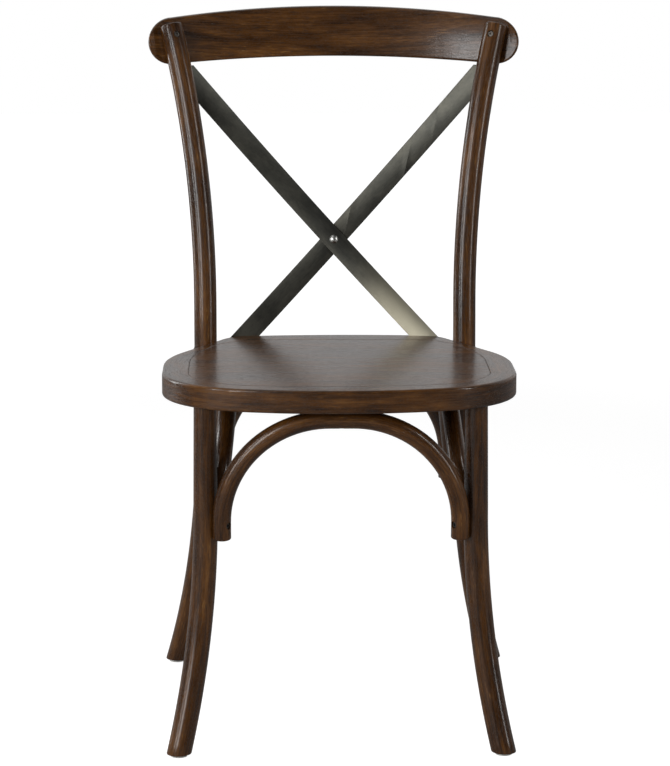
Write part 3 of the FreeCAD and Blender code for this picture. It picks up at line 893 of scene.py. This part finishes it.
def bright_steel(name, colour, rough):
    """Turned and polished steel with fine scratches and a little dulling."""
    made, shader, start = finish(name, {"Metallic": 1.0})
    spot = start.node("ShaderNodeTexCoord", output="Object")
    scratches = spot.noise(900, 3, 0.6)
    dull = spot.noise(260, 3, 0.6)
    shade = (scratches * 0.4 + dull * 0.6).between(0.3, 0.7)
    feed(shader, "Base Color", shade.mixed([c * 0.7 for c in colour], colour))
    feed(shader, "Roughness", dull * 0.2 + rough)
    feed(shader, "Normal", scratches.bump(0.15, 0.0001))
    return made


BRIGHT = bright_steel("bright_steel", (0.66, 0.66, 0.63), 0.26)
lift = (STRAP_CROSSING.z - STRAP_LOWER.z) / math.cos(strap_lean)
rivet_seat = strap_foot + strap_turned @ Vector((0, 0, lift))
rivet_way = strap_turned @ Vector((0, 1, 0))
dome = (RIVET_RADIUS**2 + RIVET_RISE**2) / (2 * RIVET_RISE)
heads = []
for turn in (1, -1):
    face = rivet_seat + rivet_way * (turn * STRAP_THICKNESS)
    all_off()
    bpy.ops.mesh.primitive_uv_sphere_add(
        segments=48,
        ring_count=32,
        radius=dome,
        location=face - rivet_way * (turn * (dome - RIVET_RISE)),
        rotation=rivet_way.to_track_quat("Z", "Y").to_euler(),
    )
    head = bpy.context.object
    bpy.ops.object.transform_apply(location=True, rotation=True, scale=True)
    bpy.ops.object.mode_set(mode="EDIT")
    bpy.ops.mesh.select_all(action="SELECT")
    bpy.ops.mesh.bisect(plane_co=face, plane_no=rivet_way * turn, use_fill=True, clear_inner=True)
    bpy.ops.mesh.bevel(offset=RIVET_EDGE, segments=2, affect="EDGES")
    bpy.ops.object.mode_set(mode="OBJECT")
    heads.append(head)
rivet = joined(heads, "rivet")
smooth(rivet)
rivet.data.materials.append(BRIGHT)
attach(rivet, "root")
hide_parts("cross_rivet")


# Screws and bolts: zinc plated steel, round heads with a driver socket, each at the bottom of
# its recess, the zinc coloured near black as painted shade of the recess. The nodes hold the
# whole screws, whose shanks are hidden in the wood.
SCREW_HEAD_RADIUS = 0.00425
SCREW_HEAD_HEIGHT = 0.003
BOLT_HEAD_RADIUS = 0.0068
BOLT_HEAD_HEIGHT = 0.004
STRAP_TOP_SCREW = 0.198
STRAP_BOTTOM_SCREW = 0.121
# Painted shade: the heads are coloured near black for the shade of the recesses they sit in.
ZINC_PAINTED_SHADE = bright_steel("zinc_steel_painted_shade", (0.10, 0.09, 0.08), 0.36)


def socket_head(name, seat, way, radius, height):
    """A round head on its seat: rim rounded over, and a round socket sunk in its face."""
    all_off()
    bpy.ops.mesh.primitive_cylinder_add(
        vertices=24,
        radius=radius,
        depth=height,
        location=seat - way * height / 2,
        rotation=(-way).to_track_quat("Z", "Y").to_euler(),
    )
    head = bpy.context.object
    head.name = name
    bpy.ops.object.transform_apply(location=True, rotation=True, scale=True)
    face = seat - way * height
    soften(head, radius * 0.22, 3, lambda spot: (spot - face).dot(way) < CLOSE)
    pick(head, "FACE", lambda spot: (spot - face).length < CLOSE)
    bpy.ops.mesh.inset(thickness=radius * 0.34)
    bpy.ops.mesh.extrude_region_move(TRANSFORM_OT_translate={"value": way * height * 0.55})
    bpy.ops.object.mode_set(mode="OBJECT")
    return head


screw_nodes = {}
for node, piece, surface, way in recesses:
    seat = surface + way * RECESS_DEPTH
    screw_nodes.setdefault(node, []).append((seat, way, SCREW_HEAD_RADIUS, SCREW_HEAD_HEIGHT))
bolt_seat = bolt_spot + bolt_way * BOLT_RECESS_DEPTH
screw_nodes["post_seat_bolts"] = [
    (bolt_seat, bolt_way, BOLT_HEAD_RADIUS, BOLT_HEAD_HEIGHT),
    (mirrored(bolt_seat), mirrored(bolt_way), BOLT_HEAD_RADIUS, BOLT_HEAD_HEIGHT),
]


def on_sheet(x, z, offset):
    """A spot on the bent sheet that both straps are cut from."""
    reach = math.sqrt((STRAP_BEND + offset) ** 2 - x * x) - STRAP_BEND
    climb = (z - STRAP_LOWER.z + reach * math.sin(strap_lean)) / math.cos(strap_lean)
    return strap_foot + strap_turned @ Vector((x, reach, climb))


for node, x, height, offset in (
    ("strap_top_screws", -STRAP_TOP_SCREW, STRAP_UPPER.z, 0.0),
    ("strap_top_screws", STRAP_TOP_SCREW, STRAP_UPPER.z, STRAP_THICKNESS),
    ("strap_bottom_screws", STRAP_BOTTOM_SCREW, STRAP_LOWER.z, 0.0),
    ("strap_bottom_screws", -STRAP_BOTTOM_SCREW, STRAP_LOWER.z, STRAP_THICKNESS),
):
    swing = x / STRAP_BEND
    way = -(strap_turned @ Vector((swing, math.sqrt(1 - swing * swing), 0)))
    seat = on_sheet(x, height, offset)
    screw_nodes.setdefault(node, []).append((seat, way, SCREW_HEAD_RADIUS, SCREW_HEAD_HEIGHT))

for node, places in screw_nodes.items():
    name = node + "_heads"
    screws = joined([socket_head(name, *place) for place in places], name)
    smooth(screws, 30)
    screws.data.materials.append(ZINC_PAINTED_SHADE)
    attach(screws, "root")
    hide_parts(node)


# Foot glides: a round pad of pale plastic with a nail, driven into the middle of each foot, so
# that the wood stands clear of the floor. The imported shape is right, and gets scuffed plastic.
GLIDE_CLEAN = (0.62, 0.61, 0.58)
GLIDE_WORN = (0.38, 0.36, 0.33)

GLIDE_PLASTIC, shader, start = finish("glide_plastic", {})
scuffs = start.node("ShaderNodeTexCoord", output="Object").noise(420, 4, 0.7)
feed(shader, "Base Color", scuffs.between(0.4, 0.75).mixed(GLIDE_CLEAN, GLIDE_WORN))
feed(shader, "Roughness", scuffs * 0.3 + 0.3)
feed(shader, "Normal", scuffs.bump(0.2, 0.0002))
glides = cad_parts["foot_glides"]
glides.data.materials.clear()
glides.data.materials.append(GLIDE_PLASTIC)


# Studio: a pale floor that takes the chair's shadow, a plain white surround, a soft box at the
# left and a weak one overhead, and narrow strips of light that draw the long highlights on the
# rods. What the lacquer mirrors is dark before the chair and lighter behind it.
FLOOR_COLOUR = (0.32, 0.32, 0.32, 1)
FLOOR_GLOW_NEAR = (0.80, 0.80, 0.80)
FLOOR_GLOW_FAR = (0.97, 0.97, 0.97)
SURROUND_LIGHT = 0.36
MIRRORED_BEFORE = 0.02
MIRRORED_BEHIND = 0.58

all_off()
bpy.ops.mesh.primitive_plane_add(size=14, location=(0, 1.5, 0))
floor = bpy.context.object
floor.name = "floor"
pale, shader, start = finish(
    "pale_floor", {"Roughness": 0.9, "Base Color": FLOOR_COLOUR, "Emission Strength": 1.0}
)
spot = start.node("ShaderNodeTexCoord", output="Object")
far = start.node("ShaderNodeVectorMath", {"operation": "LENGTH"}, {0: spot}, "Value")
glow = far.between(0.6, 2.2).mixed(FLOOR_GLOW_NEAR, FLOOR_GLOW_FAR)
seen = start.node("ShaderNodeLightPath", output="Is Camera Ray")
feed(shader, "Emission Color", seen.mixed((0, 0, 0), glow))
floor.data.materials.append(pale)

world = bpy.data.worlds.new("surround")
scene.world = world
world.use_nodes = True
around = Tone(world.node_tree)
seen = around.node("ShaderNodeLightPath", output="Is Camera Ray")
glossy = seen.also("Is Glossy Ray")
through = seen.also("Is Transmission Ray")
way = around.node("ShaderNodeTexCoord", output="Generated")
behind = around.node("ShaderNodeSeparateXYZ", None, {"Vector": way}, "Y").between(-0.1, 0.55)
mirror_level = behind * MIRRORED_BEHIND + MIRRORED_BEFORE
background = world.node_tree.nodes["Background"]
background.inputs["Color"].default_value = (1, 1, 1, 1)
level = seen + through + glossy * mirror_level + (1 - seen - through - glossy) * SURROUND_LIGHT
feed(background, "Strength", level)


def lamp(name, azimuth, away, height, aim, width, tall, power):
    """A soft box. Azimuth is from the front, positive to the chair's +X side, in degrees."""
    turn = math.radians(azimuth)
    place = Vector((math.sin(turn) * away, -math.cos(turn) * away, height))
    bpy.ops.object.light_add(type="AREA", location=place)
    made = bpy.context.object
    made.name = name
    made.data.shape = "RECTANGLE"
    made.data.size = width
    made.data.size_y = tall
    made.data.energy = power
    made.rotation_euler = (Vector((0, 0, aim)) - place).to_track_quat("-Z", "Y").to_euler()


lamp("left_box", azimuth=-35, away=3.0, height=1.3, aim=0.55, width=0.6, tall=1.7, power=38)
lamp("left_strip", azimuth=-56, away=2.8, height=1.3, aim=0.55, width=0.16, tall=1.9, power=22)
lamp("right_strip", azimuth=60, away=2.6, height=1.3, aim=0.55, width=0.2, tall=1.9, power=20)
lamp("top_box", azimuth=-60, away=0.9, height=2.7, aim=0.4, width=1.2, tall=1.2, power=5)
lamp("far_left_strip", azimuth=-118, away=2.6, height=1.2, aim=0.5, width=0.5, tall=1.9, power=22)
